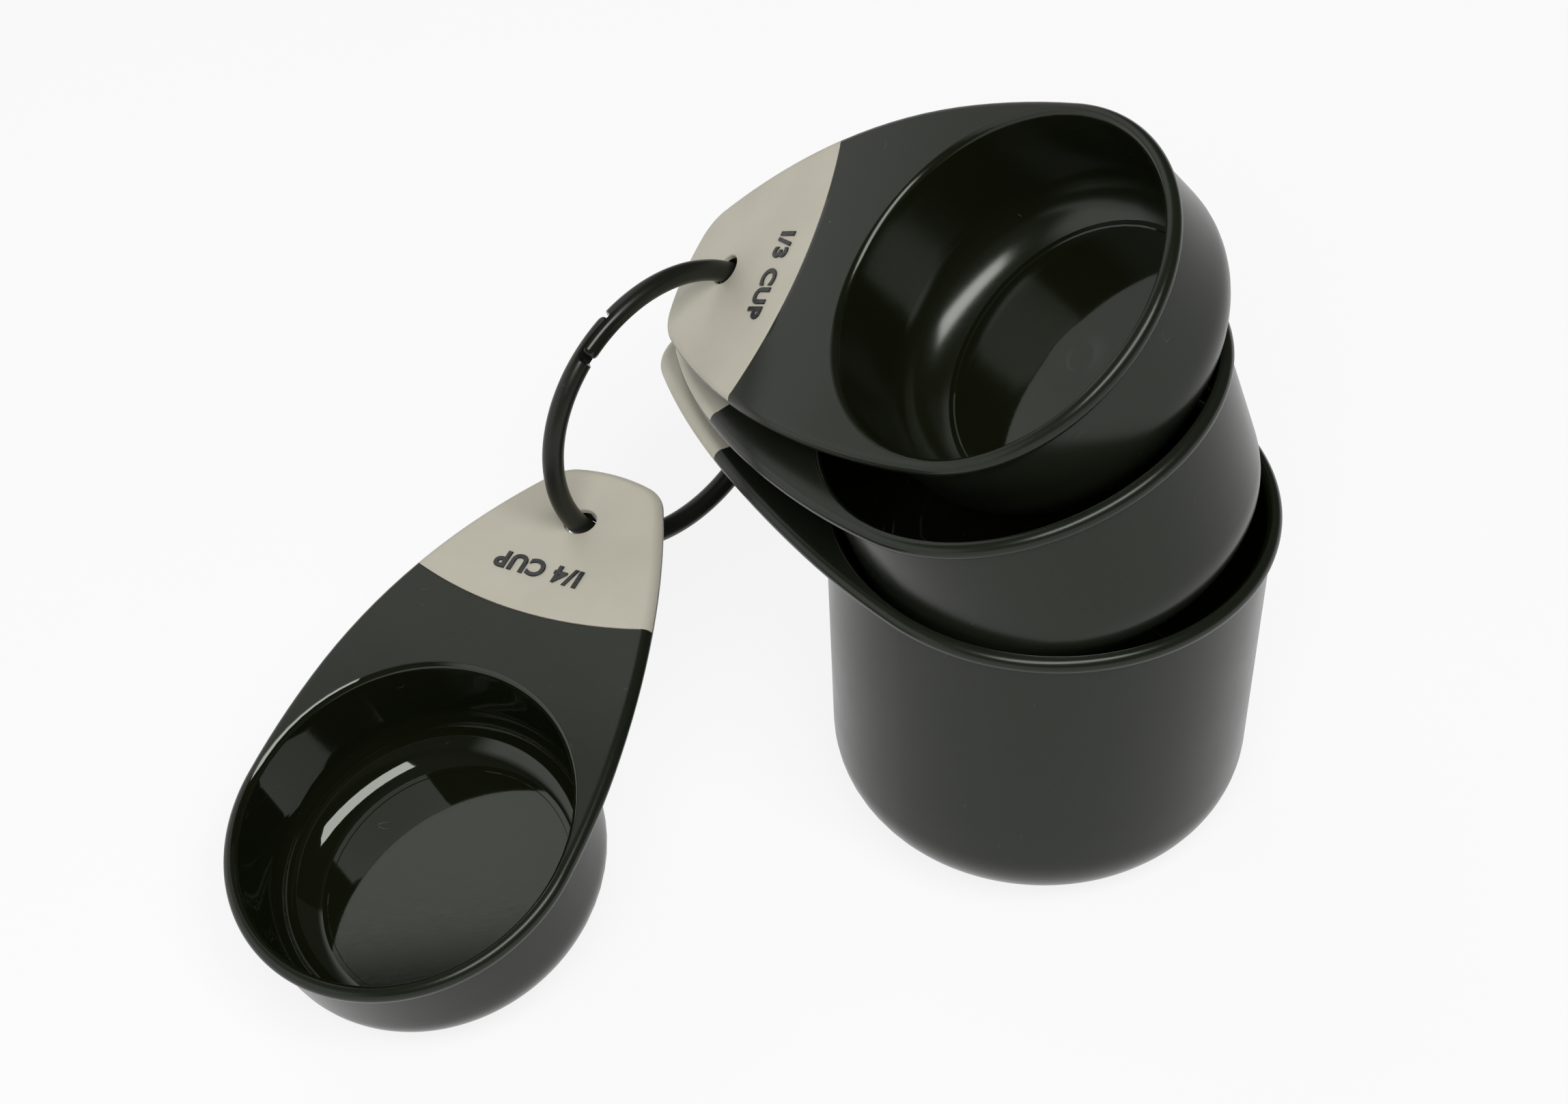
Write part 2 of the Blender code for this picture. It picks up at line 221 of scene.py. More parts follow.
# Key softbox above the camera: the direction to it, the direction of its long side, and its size
KEY_TARGET = Vector((-0.05, -0.01, 0.05))
KEY_DIRECTION = Vector((0.086, -0.565, 0.841)).normalized()
KEY_LONG_SIDE = Vector((0.849, 0.503, 0.161))
KEY_DISTANCE = 1.3
KEY_SIZE = (1.235, 0.44)
KEY_WATTS = 15.9


def arc(centre, radius, start, end, count):
    """Points along an arc, without its first point."""
    points = []
    for step in range(1, count + 1):
        angle = start + (end - start) * step / count
        points.append((centre[0] + radius * math.cos(angle), centre[1] + radius * math.sin(angle)))
    return points


def spread(start, end, count):
    """Evenly spaced values from start to end, both included."""
    return [start + (end - start) * step / (count - 1) for step in range(count)]


def straight(start, end, count):
    """Points along a straight line, without its first point."""
    points = []
    for share in spread(0.0, 1.0, count + 1)[1:]:
        points.append((start[0] + (end[0] - start[0]) * share, start[1] + (end[1] - start[1]) * share))
    return points


def droop(x):
    run = max(x - DROOP_START, 0.0) / (DROOP_REACH - DROOP_START)
    return -DROOP * run * run


def droop_slope(x):
    run = max(x - DROOP_START, 0.0) / (DROOP_REACH - DROOP_START)
    return -2.0 * DROOP * run / (DROOP_REACH - DROOP_START)


def rim_radius(cup):
    return cup.lip_radius + RIM_WIDTH


def outline_place(point, inset):
    reach = point.radius - inset
    return Vector((point.centre[0] + reach * math.cos(point.angle),
                   point.centre[1] + reach * math.sin(point.angle)))


def seam_centre(cup):
    return Vector((cup.hole_reach + SEAM_CENTRE_BEYOND_HOLE, 0.0))


def outline_points(centre, radius, gripped, angles):
    return [OutlinePoint(centre, radius, angle, gripped) for angle in angles]


def plan_outline(cup, seam_radius):
    """Points of the teardrop outline from back to tip to back. The seam is met twice: gripped and bare."""
    growth = OUTLINE_GROWTH * (rim_radius(cup) - rim_radius(QUARTER))
    rim = rim_radius(cup)
    side = SIDE_RADIUS + growth
    corner = TIP_CORNER + growth
    tip_x = cup.hole_reach + TIP_REACH + growth
    corner_centre = Vector((tip_x - corner - TIP_BOW, TIP_CORNER_OFFSET))
    tip = (2.0 * corner * TIP_BOW + TIP_BOW ** 2 + TIP_CORNER_OFFSET ** 2) / (2.0 * TIP_BOW)
    tip_centre = Vector((tip_x - tip, 0.0))
    reach = corner_centre.length
    along = ((side - rim) ** 2 - (side - corner) ** 2 + reach ** 2) / (2.0 * reach)
    across = math.sqrt((side - rim) ** 2 - along ** 2)
    heading = corner_centre / reach
    side_centre = heading * along + Vector((heading.y, -heading.x)) * across
    rim_end = math.atan2(-side_centre.y, -side_centre.x)
    to_corner = corner_centre - side_centre
    side_end = math.atan2(to_corner.y, to_corner.x)
    from_tip = corner_centre - tip_centre
    corner_end = math.atan2(from_tip.y, from_tip.x)

    # Where the seam meets the side, one edge radius in from the outline
    to_seam = seam_centre(cup) - side_centre
    inner_side = side - EDGE_ROUND
    squares = inner_side ** 2 + to_seam.length_squared - seam_radius ** 2
    cosine = squares / (2.0 * inner_side * to_seam.length)
    seam_angle = math.atan2(to_seam.y, to_seam.x) + math.acos(cosine)

    half = outline_points(tip_centre, tip, True, spread(0.0, corner_end, TIP_POINTS))
    half += outline_points(corner_centre, corner, True, spread(corner_end, side_end, CORNER_POINTS)[1:])
    half += outline_points(side_centre, side, True, spread(side_end, seam_angle, GRIP_SIDE_POINTS)[1:])
    half += outline_points(side_centre, side, False, spread(seam_angle, rim_end, BARE_SIDE_POINTS))
    half += outline_points((0.0, 0.0), rim, False, spread(rim_end, math.pi, RIM_POINTS)[1:])
    mirrored = []
    for centre, radius, angle, gripped in half:
        mirrored.append(OutlinePoint((centre[0], -centre[1]), radius, -angle, gripped))
    return mirrored[:0:-1] + half[:-1]


def seam_share(cup, start, end, seam_radius):
    """How far along start to end the seam is crossed, from 0 to 1."""
    to_start = start - seam_centre(cup)
    run = end - start
    along = to_start.dot(run)
    beyond = to_start.length_squared - seam_radius ** 2
    root = along * along - run.length_squared * beyond
    if root <= 0.0:
        return 1.0
    return min(max((-along - math.sqrt(root)) / run.length_squared, 0.0), 1.0)


def base_corner(cup):
    """Centre of the outer arc between the wall and the base, as radius and height."""
    z = cup.base_round - cup.height
    return cup.lip_radius + WALL + z * math.tan(TAPER) - cup.base_round / math.cos(TAPER), z


def floor_profile(cup, ledge_outer):
    """Inner profile from near the middle of the floor to the hollow corner: gate mark, flat and ledge."""
    ledge_z = cup.inside.floor - cup.height
    floor_z = ledge_z - LEDGE_DROP
    ledge_inner = ledge_outer - LEDGE_WIDTH
    floor_radius = ledge_inner - cup.inside.slope
    profile = [(GATE_START, floor_z), (GATE_RADIUS - GATE_WIDTH, floor_z)]
    profile += [(GATE_RADIUS - share * GATE_WIDTH, floor_z - cup.inside.gate) for share in GROOVE_SHARES]
    profile += [(GATE_RADIUS, floor_z)]
    profile += [(floor_radius * share, floor_z) for share in FLOOR_SHARES]
    profile += [(ledge_inner, ledge_z), (ledge_inner + LEDGE_INNER_STRIP, ledge_z)]
    profile += [(ledge_outer - LEDGE_OUTER_STRIP, ledge_z), (ledge_outer, ledge_z)]
    return profile


def lip_profile(cup):
    """Inner profile over the lip, from the top of the wall to the witness line."""
    swell = LIP_RADIUS - LIP_FOOT_RADIUS
    foot_z = -swell * (math.sin(LIP_HIGH) - math.sin(LIP_LOW)) - LIP_FOOT_RADIUS * math.sin(LIP_HIGH)
    foot_centre = (cup.lip_radius + LIP_FOOT_RADIUS, foot_z)
    lip_centre = (foot_centre[0] + swell * math.cos(LIP_LOW), foot_z - swell * math.sin(LIP_LOW))
    profile = [(cup.lip_radius, foot_z)]
    profile += arc(foot_centre, LIP_FOOT_RADIUS, math.pi, math.pi - LIP_LOW, LIP_FOOT_STEPS)
    profile += arc(lip_centre, LIP_RADIUS, math.pi - LIP_LOW, math.pi - LIP_HIGH, LIP_STEPS)
    profile += [(cup.lip_radius + WITNESS_START, 0.0)]
    profile += [(cup.lip_radius + WITNESS_START + WITNESS_WIDTH / 2.0, -WITNESS_DEPTH)]
    return profile


def inside_profile(cup):
    """Inner profile in three stretches: the floor, the hollow corner, and the wall with its lip."""
    hollow = cup.inside.hollow
    draft = math.radians(cup.inside.draft)
    depth = cup.base_round - cup.height
    centre = (cup.lip_radius + depth * math.tan(draft) - hollow / math.cos(draft), depth)
    floor_angle = math.asin((depth - (cup.inside.floor - cup.height)) / hollow)
    floor = floor_profile(cup, centre[0] + hollow * math.cos(floor_angle))
    corner = arc(centre, hollow, -floor_angle, -draft, HOLLOW_STEPS)
    lip = lip_profile(cup)
    return floor, corner, straight(corner[-1], lip[0], WALL_STEPS) + lip[1:]


def outside_profile(cup):
    """Outer profile from under the rim to the base."""
    centre = base_corner(cup)
    top = -EDGE_ROUND + EDGE_ROUND * math.sin(EDGE_END)
    head = (cup.lip_radius + WALL + top * math.tan(TAPER), top)
    foot = (centre[0] + cup.base_round * math.cos(TAPER), centre[1] - cup.base_round * math.sin(TAPER))
    profile = [head] + straight(head, foot, OUTSIDE_STEPS)
    profile += arc(centre, cup.base_round, -TAPER, -math.pi / 2.0, BASE_STEPS)
    profile += [(centre[0] * share, -cup.height) for share in BASE_SHARES]
    return profile


def wall_place(radius, z, polar):
    """Point of the bowl, let down near the lip where the handle droops."""
    x = radius * math.cos(polar)
    nearness = max(0.0, 1.0 + z / LIP_BLEND)
    return Vector((x, radius * math.sin(polar), z + droop(x) * nearness))


def plate_place(flat, depth):
    """Point on the plate's top, sunk by depth."""
    return Vector((flat.x, flat.y, droop(flat.x) - depth))


def edge_place(point, angle, depth):
    """Point on the plate's half-round edge, sunk by depth; angle is measured up from the edge's middle."""
    rounding = EDGE_ROUND - depth
    flat = outline_place(point, EDGE_ROUND - rounding * math.cos(angle))
    return Vector((flat.x, flat.y, droop(flat.x) - EDGE_ROUND + rounding * math.sin(angle)))


def under_row(last, head):
    """Points along the handle's underside from its edge to the bowl's wall, following the droop."""
    row = []
    last_level = last.z - droop(last.x)
    for step in spread(0.0, 1.0, UNDER_STEPS)[1:]:
        flat = last + (head - last) * step
        level = last_level + (head.z - droop(head.x) - last_level) * step
        row.append(Vector((flat.x, flat.y, level + droop(flat.x))))
    return row


def cup_ray(cup, point, inside, outside):
    """Section of the cup through one outline point, from the floor over the rim and back under the base."""
    edge = outline_place(point, EDGE_ROUND)
    polar = math.atan2(edge.y, edge.x)
    start = Vector((math.cos(polar), math.sin(polar))) * (cup.lip_radius + WITNESS_START + WITNESS_WIDTH)
    run = edge - start
    depth = 0.0
    seam_drop = 0.0
    share = 1.0
    bevel = 0.0
    if point.gripped:
        depth = GRIP_THICKNESS
        seam_drop = SEAM_ROUND
        share = seam_share(cup, start, edge, SEAM_RADIUS + SEAM_SLACK)
        bevel = min(SEAM_ROUND / run.length, share)
    skirt = math.radians(cup.skirt)
    ray = [wall_place(radius, z, polar) for radius, z in inside]
    ray += [plate_place(start + run * step, 0.0) for step in spread(0.0, share - bevel, TOP_STEPS)]
    ray.append(plate_place(start + run * (share - SEAM_SHOULDER * bevel), SEAM_SHOULDER * seam_drop))
    ray.append(plate_place(start + run * share, seam_drop))
    ray += [plate_place(start + run * step, depth) for step in spread(share, 1.0, GRIP_STEPS)]
    for angle in spread(math.pi / 2.0, skirt, EDGE_STEPS)[1:]:
        ray.append(edge_place(point, angle, depth))
    for angle in spread(skirt - SKIRT_STEP, EDGE_END, LOWER_EDGE_STEPS):
        ray.append(edge_place(point, angle, 0.0))
    ray += under_row(ray[-1], wall_place(*outside[0], polar))
    ray += [wall_place(radius, z, polar) for radius, z in outside[1:]]
    return ray


def only_finish(step):
    """Every face takes the piece's one material."""
    return 0


def bridge(shape, rows, closed, finish_of):
    """Quads between neighbouring rows of vertices; finish_of gives the material of each step along a row."""
    count = len(rows) if closed else len(rows) - 1
    for index in range(count):
        here = rows[index]
        there = rows[(index + 1) % len(rows)]
        for step in range(len(here) - 1):
            face = shape.faces.new((here[step], there[step], there[step + 1], here[step + 1]))
            face.material_index = finish_of(step)


def fan(shape, centre, ring, finish):
    for index, vert in enumerate(ring):
        face = shape.faces.new((centre, vert, ring[(index + 1) % len(ring)]))
        face.material_index = finish


def smooth_shade(mesh, crease):
    mesh.shade_smooth()
    mesh.set_sharp_from_angle(angle=crease)


def link_object(name, data):
    item = bpy.data.objects.new(name, data)
    bpy.context.scene.collection.objects.link(item)
    return item


def to_object(name, shape, materials, crease):
    bmesh.ops.remove_doubles(shape, verts=shape.verts, dist=MERGE_DISTANCE)
    bmesh.ops.dissolve_degenerate(shape, edges=shape.edges, dist=MERGE_DISTANCE)
    bmesh.ops.recalc_face_normals(shape, faces=shape.faces)
    mesh = bpy.data.meshes.new(name)
    shape.to_mesh(mesh)
    shape.free()
    for material in materials:
        mesh.materials.append(material)
    smooth_shade(mesh, crease)
    return link_object(name, mesh)


def cup_object(cup, finishes):
    """The cup's body; finishes are for the floor, the outside, the hollow corner and the inner wall."""
    floor, corner, wall = inside_profile(cup)
    inside = floor + corner + wall
    outside = outside_profile(cup)
    corner_start = len(floor) - 1
    wall_start = corner_start + len(corner)
    outside_start = len(inside) - 2

    def finish_of(step):
        if step >= outside_start:
            return OUTSIDE_FINISH
        if step >= wall_start:
            return WALL_FINISH
        return CORNER_FINISH if step >= corner_start else FLOOR_FINISH

    shape = bmesh.new()
    rows = []
    for point in plan_outline(cup, SEAM_RADIUS + SEAM_SLACK):
        rows.append([shape.verts.new(place) for place in cup_ray(cup, point, inside, outside)])
    bridge(shape, rows, True, finish_of)
    fan(shape, shape.verts.new((0.0, 0.0, inside[0][1])), [row[0] for row in rows], FLOOR_FINISH)
    fan(shape, shape.verts.new((0.0, 0.0, -cup.height)), [row[-1] for row in rows], OUTSIDE_FINISH)
    return to_object(cup.name + "_body", shape, finishes, CREASE)


def grip_ray(cup, point):
    """Section of the grip through one outline point: its outer and inner skins, each from seam to skirt."""
    edge = outline_place(point, EDGE_ROUND)
    polar = math.atan2(edge.y, edge.x)
    start = Vector((math.cos(polar), math.sin(polar))) * cup.lip_radius
    run = edge - start
    share = seam_share(cup, start, edge, SEAM_RADIUS - SEAM_SLACK)
    bevel = min(SEAM_ROUND / run.length, 1.0 - share)
    inner = GRIP_THICKNESS - GRIP_SLACK
    turns = spread(math.pi / 2.0, math.radians(cup.skirt) + SKIRT_GAP, EDGE_STEPS)[1:]
    shoulder = start + run * (share + SEAM_SHOULDER * bevel)
    outer_row = [plate_place(start + run * share, SEAM_ROUND)]
    outer_row += [plate_place(shoulder, SEAM_SHOULDER * SEAM_ROUND)]
    outer_row += [plate_place(start + run * step, 0.0) for step in spread(share + bevel, 1.0, GRIP_STEPS)]
    outer_row += [edge_place(point, angle, 0.0) for angle in turns]
    inner_steps = [share] + spread(share, 1.0, GRIP_STEPS + 1)
    inner_row = [plate_place(start + run * step, inner) for step in inner_steps]
    inner_row += [edge_place(point, angle, inner) for angle in turns]
    return outer_row, inner_row


def grip_object(cup, material):
    """The grip's skins, closed along the seam, along the skirt and at both ends of the outline."""
    shape = bmesh.new()
    outer_rows = []
    inner_rows = []
    for point in plan_outline(cup, SEAM_RADIUS - SEAM_SLACK):
        if point.gripped:
            outer, inner = grip_ray(cup, point)
            outer_rows.append([shape.verts.new(place) for place in outer])
            inner_rows.append([shape.verts.new(place) for place in inner])
    bridge(shape, outer_rows, False, only_finish)
    bridge(shape, inner_rows, False, only_finish)
    for end in (0, -1):
        bridge(shape, [outer_rows[end], inner_rows[end]], False, only_finish)
        border = [[outer[end], inner[end]] for outer, inner in zip(outer_rows, inner_rows)]
        bridge(shape, border, False, only_finish)
    return to_object(cup.name + "_grip_skin", shape, (material,), CREASE)


def hole_centre(cup):
    return Vector((cup.hole_reach, 0.0, droop(cup.hole_reach) - EDGE_ROUND))


def hole_cutter(cup):
    """Pin with flared ends, square to the drooping handle, that cuts the hole with rounded edges."""
    top = EDGE_ROUND + PIN_OVER
    wide = HOLE_RADIUS + HOLE_ROUND
    profile = [(wide + PIN_FLARE, top)]
    profile += arc((wide, EDGE_ROUND - HOLE_ROUND), HOLE_ROUND, PIN_ARC_START, math.pi, PIN_ARC_STEPS)
    profile += [(radius, -z) for radius, z in reversed(profile)]
    shape = bmesh.new()
    rows = []
    for angle in spread(0.0, math.tau, PIN_STEPS + 1)[:-1]:
        places = [(radius * math.cos(angle), radius * math.sin(angle), z) for radius, z in profile]
        rows.append([shape.verts.new(place) for place in places])
    bridge(shape, rows, True, only_finish)
    fan(shape, shape.verts.new((0.0, 0.0, top)), [row[0] for row in rows], 0)
    fan(shape, shape.verts.new((0.0, 0.0, -top)), [row[-1] for row in rows], 0)
    item = to_object(cup.name + "_hole_pin", shape, (), CREASE)
    lean = Matrix.Rotation(math.atan(-droop_slope(cup.hole_reach)), 4, "Y")
    item.matrix_world = Matrix.Translation(hole_centre(cup)) @ lean
    return item


def evaluated_mesh(item):
    depsgraph = bpy.context.evaluated_depsgraph_get()
    return bpy.data.meshes.new_from_object(item.evaluated_get(depsgraph))


def cut_hole(item, pin):
    cut = item.modifiers.new("hole", "BOOLEAN")
    cut.operation = "DIFFERENCE"
    cut.solver = "EXACT"
    cut.object = pin
    bpy.context.view_layer.update()
    mesh = evaluated_mesh(item)
    item.modifiers.clear()
    item.data = mesh
    smooth_shade(mesh, CREASE)


def letter_object(cup, material):
    """Capacity mark across the handle, read with its top towards the bowl, following the droop."""
    text = bpy.data.curves.new(cup.name + "_mark", "FONT")
    text.body = cup.label
    text.align_x = "CENTER"
    text.align_y = "CENTER"
    text.size = LETTER_HEIGHT / CAPITAL_SHARE
    text.space_character = LETTER_SPACING
    text.offset = LETTER_SWELL
    text.extrude = LETTER_RISE - LETTER_BEVEL
    text.bevel_depth = LETTER_BEVEL
    text.bevel_resolution = LETTER_BEVEL_STEPS
    guide = link_object(cup.name + "_mark_text", text)
    mesh = evaluated_mesh(guide)
    bpy.data.objects.remove(guide, do_unlink=True)
    for vert in mesh.vertices:
        along = LETTER_PLACE - vert.co.y
        across = LETTER_SIDE + vert.co.x
        vert.co = (along, across, vert.co.z + droop(along))
    mesh.materials.clear()
    mesh.materials.append(material)
    return link_object(cup.name + "_mark", mesh)


def smooth_step(value):
    value = min(max(value, 0.0), 1.0)
    return value * value * (3.0 - 2.0 * value)


def ring_object(material):
    """One sweep round the ring whose two ends lap: the first keeps its back half, the last its front half."""
    start = LAP_MIDDLE - LAP_SPAN / 2.0
    end = LAP_MIDDLE + LAP_SPAN / 2.0
    first = start + BACK_NOTCH
    last = math.tau + end - FRONT_NOTCH
    back_end = end + END_ROUND
    front_start = math.tau + start - END_ROUND
    turns = spread(first, first + END_ROUND, END_STEPS)[:-1]
    turns += spread(first + END_ROUND, back_end, LAP_STEPS)[:-1]
    turns += spread(back_end, front_start, RING_STEPS)[:-1]
    turns += spread(front_start, last - END_ROUND, LAP_STEPS)[:-1]
    turns += spread(last - END_ROUND, last, END_STEPS)
    shape = bmesh.new()
    rows = []
    for turn in turns:
        back_lap = 1.0 - smooth_step((turn - end) / SHOULDER_ROUND + 0.5)
        front_lap = smooth_step((turn - math.tau - start) / SHOULDER_ROUND + 0.5)
        from_end = min(min(turn - first, last - turn) / END_ROUND, 1.0)
        shrink = END_SHARE + (1.0 - END_SHARE) * math.sqrt(1.0 - (1.0 - from_end) ** 2)
        row = []
        for step in range(TUBE_STEPS):
            angle = math.tau * step / TUBE_STEPS
            out = RING_TUBE * math.cos(angle)
            side = RING_TUBE * math.sin(angle)
            side += (min(side, LAP_SPLIT - LAP_GAP) - side) * back_lap
            side += (max(side, LAP_SPLIT + LAP_GAP) - side) * front_lap
            if back_lap == 1.0 or front_lap == 1.0:
                middle = 0.5 * (LAP_SPLIT + RING_TUBE * (1.0 if front_lap else -1.0))
                side = middle + (side - middle) * shrink
                out *= shrink
            radius = RING_RADIUS + out
            row.append(shape.verts.new((radius * math.cos(turn), radius * math.sin(turn), side)))
        rows.append(row + row[:1])
    bridge(shape, rows, False, only_finish)
    for cap in (rows[0], rows[-1]):
        shape.faces.new(cap[:-1])
    return to_object("ring_body", shape, (material,), RING_CREASE)


def cup_turn(cup):
    azimuth = Matrix.Rotation(math.radians(cup.azimuth), 4, "Z")
    pitch = Matrix.Rotation(math.radians(cup.pitch), 4, "Y")
    roll = Matrix.Rotation(math.radians(cup.roll), 4, "X")
    return azimuth @ pitch @ roll


def ring_frame():
    """Turn that sets the ring's axis, with the ring's first direction as far up as it goes."""
    level = math.cos(RING_AXIS_RISE)
    axis = Vector((level * math.cos(RING_AXIS_AZIMUTH), level * math.sin(RING_AXIS_AZIMUTH),
                   math.sin(RING_AXIS_RISE)))
    up = (Vector((0.0, 0.0, 1.0)) - axis * axis.z).normalized()
    return Matrix((up, axis.cross(up), axis)).transposed().to_4x4()


def ring_point(angle):
    return Vector((RING_RADIUS * math.cos(angle), RING_RADIUS * math.sin(angle), 0.0))


def ring_seat(cup):
    """Where the ring runs through the hole, in the cup's own frame."""
    return hole_centre(cup) - Vector((cup.ring_slack, 0.0, 0.0))


def standing_placement():
    """The largest cup stands on its base, so its rim is its height above the table."""
    return Matrix.Translation((0.0, 0.0, ONE.height)) @ cup_turn(ONE)


def ring_placement():
    frame_turn = ring_frame()
    seat = standing_placement() @ ring_seat(ONE)
    return Matrix.Translation(seat - frame_turn @ ring_point(math.radians(ONE.ring_angle))) @ frame_turn


def cup_placement(cup):
    """The ring runs through the largest cup's hole, and the other cups hang on the ring."""
    if cup is ONE:
        return standing_placement()
    seat = ring_placement() @ ring_point(math.radians(cup.ring_angle))
    turn = cup_turn(cup)
    return Matrix.Translation(seat - turn @ ring_seat(cup)) @ turn


class Shader:
    """A material under construction: adds nodes and links them to the Principled shader."""

    def __init__(self, name, colour, roughness, specular):
        self.material = bpy.data.materials.new(name)
        self.material.use_nodes = True
        self.tree = self.material.node_tree
        self.principled = self.tree.nodes["Principled BSDF"]
        self.principled.inputs["Base Color"].default_value = (*colour, 1.0)
        self.principled.inputs["Roughness"].default_value = roughness
        self.principled.inputs["Specular IOR Level"].default_value = specular
        self.coordinates = self.add("ShaderNodeTexCoord").outputs["Object"]

    def add(self, kind, **settings):
        node = self.tree.nodes.new(kind)
        for key, value in settings.items():
            setattr(node, key, value)
        return node

    def link(self, source, target):
        self.tree.links.new(source, target)

    def tint(self, colour):
        self.principled.inputs["Specular Tint"].default_value = (*colour, 1.0)

    def noise(self, scale, detail=2.0, roughness=0.5, stretch=None):
        node = self.add("ShaderNodeTexNoise")
        node.inputs["Scale"].default_value = scale
        node.inputs["Detail"].default_value = detail
        node.inputs["Roughness"].default_value = roughness
        source = self.coordinates
        if stretch:
            mapping = self.add("ShaderNodeMapping")
            mapping.inputs["Scale"].default_value = stretch
            self.link(source, mapping.inputs["Vector"])
            source = mapping.outputs["Vector"]
        self.link(source, node.inputs["Vector"])
        return node.outputs["Fac"]

    def remap(self, value, old_range, new_range):
        node = self.add("ShaderNodeMapRange")
        node.inputs["From Min"].default_value, node.inputs["From Max"].default_value = old_range
        node.inputs["To Min"].default_value, node.inputs["To Max"].default_value = new_range
        self.link(value, node.inputs["Value"])
        return node.outputs["Result"]

    def math(self, operation, first, second):
        node = self.add("ShaderNodeMath", operation=operation)
        for socket, value in zip(node.inputs, (first, second)):
            if isinstance(value, float):
                socket.default_value = value
            else:
                self.link(value, socket)
        return node.outputs["Value"]

    def mix(self, factor, first, second):
        node = self.add("ShaderNodeMix", data_type="RGBA")
        sockets = (node.inputs["Factor"], node.inputs[6], node.inputs[7])
        for socket, value in zip(sockets, (factor, first, second)):
            if isinstance(value, tuple):
                socket.default_value = (*value, 1.0)
            else:
                self.link(value, socket)
        return node.outputs[2]

    def specks(self, scale, share):
        """Sparse round specks: 1 inside one, 0 elsewhere."""
        cells = self.add("ShaderNodeTexVoronoi")
        cells.inputs["Scale"].default_value = scale
        self.link(self.coordinates, cells.inputs["Vector"])
        split = self.add("ShaderNodeSeparateColor")
        self.link(cells.outputs["Color"], split.inputs["Color"])
        near = self.math("LESS_THAN", cells.outputs["Distance"], SPECK_SIZE)
        chosen = self.math("LESS_THAN", split.outputs["Red"], share)
        return self.math("MULTIPLY", near, chosen)

    def lint(self, scale, rarity):
        """Short curved hairs: thin level lines of one noise, kept only where another is high."""
        level = self.math("ABSOLUTE", self.math("SUBTRACT", self.noise(scale, detail=0.0), 0.5), 0.0)
        line = self.math("LESS_THAN", level, LINT_WIDTH)
        high = self.noise(LINT_PATCH_SCALE * scale, detail=0.0, stretch=LINT_PATCH_STRETCH)
        patch = self.math("GREATER_THAN", high, rarity)
        return self.math("MULTIPLY", line, patch)

    def bump(self, height, strength, distance):
        node = self.add("ShaderNodeBump")
        node.inputs["Strength"].default_value = strength
        node.inputs["Distance"].default_value = distance
        self.link(height, node.inputs["Height"])
        self.link(node.outputs["Normal"], self.principled.inputs["Normal"])

    def colour_from(self, colour):
        self.link(colour, self.principled.inputs["Base Color"])

    def roughness_from(self, value):
        self.link(value, self.principled.inputs["Roughness"])


def gloss_black(name, specular, low, high):
    """Inside of the bowls, with faint scuffs, dust and lint; its roughness runs from low to high."""
    shader = Shader(name, BLACK_GLOSS, low, specular)
    shader.tint(GLOSS_TINT)
    scuffs = shader.noise(scale=420.0, detail=4.0, roughness=0.65, stretch=(1.0, 6.0, 1.0))
    shader.roughness_from(shader.remap(scuffs, (0.35, 0.75), (low, high)))
    specks = shader.specks(scale=260.0, share=0.06)
    dust = shader.math("MAXIMUM", specks, shader.lint(scale=300.0, rarity=0.83))
    shader.colour_from(shader.mix(dust, BLACK_GLOSS, DUST))
    shader.bump(shader.noise(scale=160.0), strength=0.015, distance=0.02 * MM)
    return shader.material


def satin_black(name, colour, specular, low, high, worn_place=None):
    """Finely eroded mould finish, worn smooth around one place if it is given."""
    shader = Shader(name, colour, low, specular)
    shader.tint(SATIN_TINT)
    grain = shader.noise(scale=3800.0, roughness=0.6)
    shader.bump(grain, strength=0.16, distance=0.008 * MM)
    handled = shader.noise(scale=55.0, detail=3.0, roughness=0.6)
    roughness = shader.remap(handled, (0.3, 0.7), (low, high))
    if worn_place:
        distance = shader.add("ShaderNodeVectorMath", operation="DISTANCE")
        distance.inputs[1].default_value = worn_place
        shader.link(shader.coordinates, distance.inputs[0])
        worn = shader.remap(distance.outputs["Value"], (WORN_CORE, WORN_REACH), (WORN_ROUGHNESS, high))
        roughness = shader.math("MINIMUM", roughness, worn)
    shader.roughness_from(roughness)
    specks = shader.specks(scale=330.0, share=0.03)
    dust = shader.math("MAXIMUM", specks, shader.lint(scale=340.0, rarity=0.8))
    lighter = tuple(value * GRAIN_LIGHTENING for value in colour)
    tone = shader.mix(shader.remap(grain, (0.35, 0.65), (0.0, 1.0)), colour, lighter)
    shader.colour_from(shader.mix(dust, tone, DUST))
    return shader.material


def beige_grip():
    """Soft overmoulded elastomer with a fine mottle."""
    shader = Shader("beige_soft_elastomer", BEIGE, roughness=0.5, specular=0.4)
    grain = shader.noise(scale=2600.0, roughness=0.6)
    cloud = shader.noise(scale=90.0, detail=3.0, roughness=0.55)
    darker = tuple(value * MOTTLE_DARKENING for value in BEIGE)
    tone = shader.mix(shader.remap(cloud, (0.3, 0.7), (0.0, 1.0)), BEIGE, darker)
    dust = shader.specks(scale=240.0, share=0.05)
    shader.colour_from(shader.mix(dust, tone, PALE_DUST))
    shader.roughness_from(shader.remap(cloud, (0.3, 0.7), (0.42, 0.56)))
    shader.bump(grain, strength=0.2, distance=0.012 * MM)
    return shader.material


def letter_black():
    """Lettering rubbed unevenly smooth."""
    shader = Shader("black_raised_lettering", BLACK_LETTER, roughness=0.3, specular=0.5)
    wear = shader.noise(scale=900.0, detail=3.0)
    shader.roughness_from(shader.remap(wear, (0.3, 0.7), (0.22, 0.4)))
    return shader.material


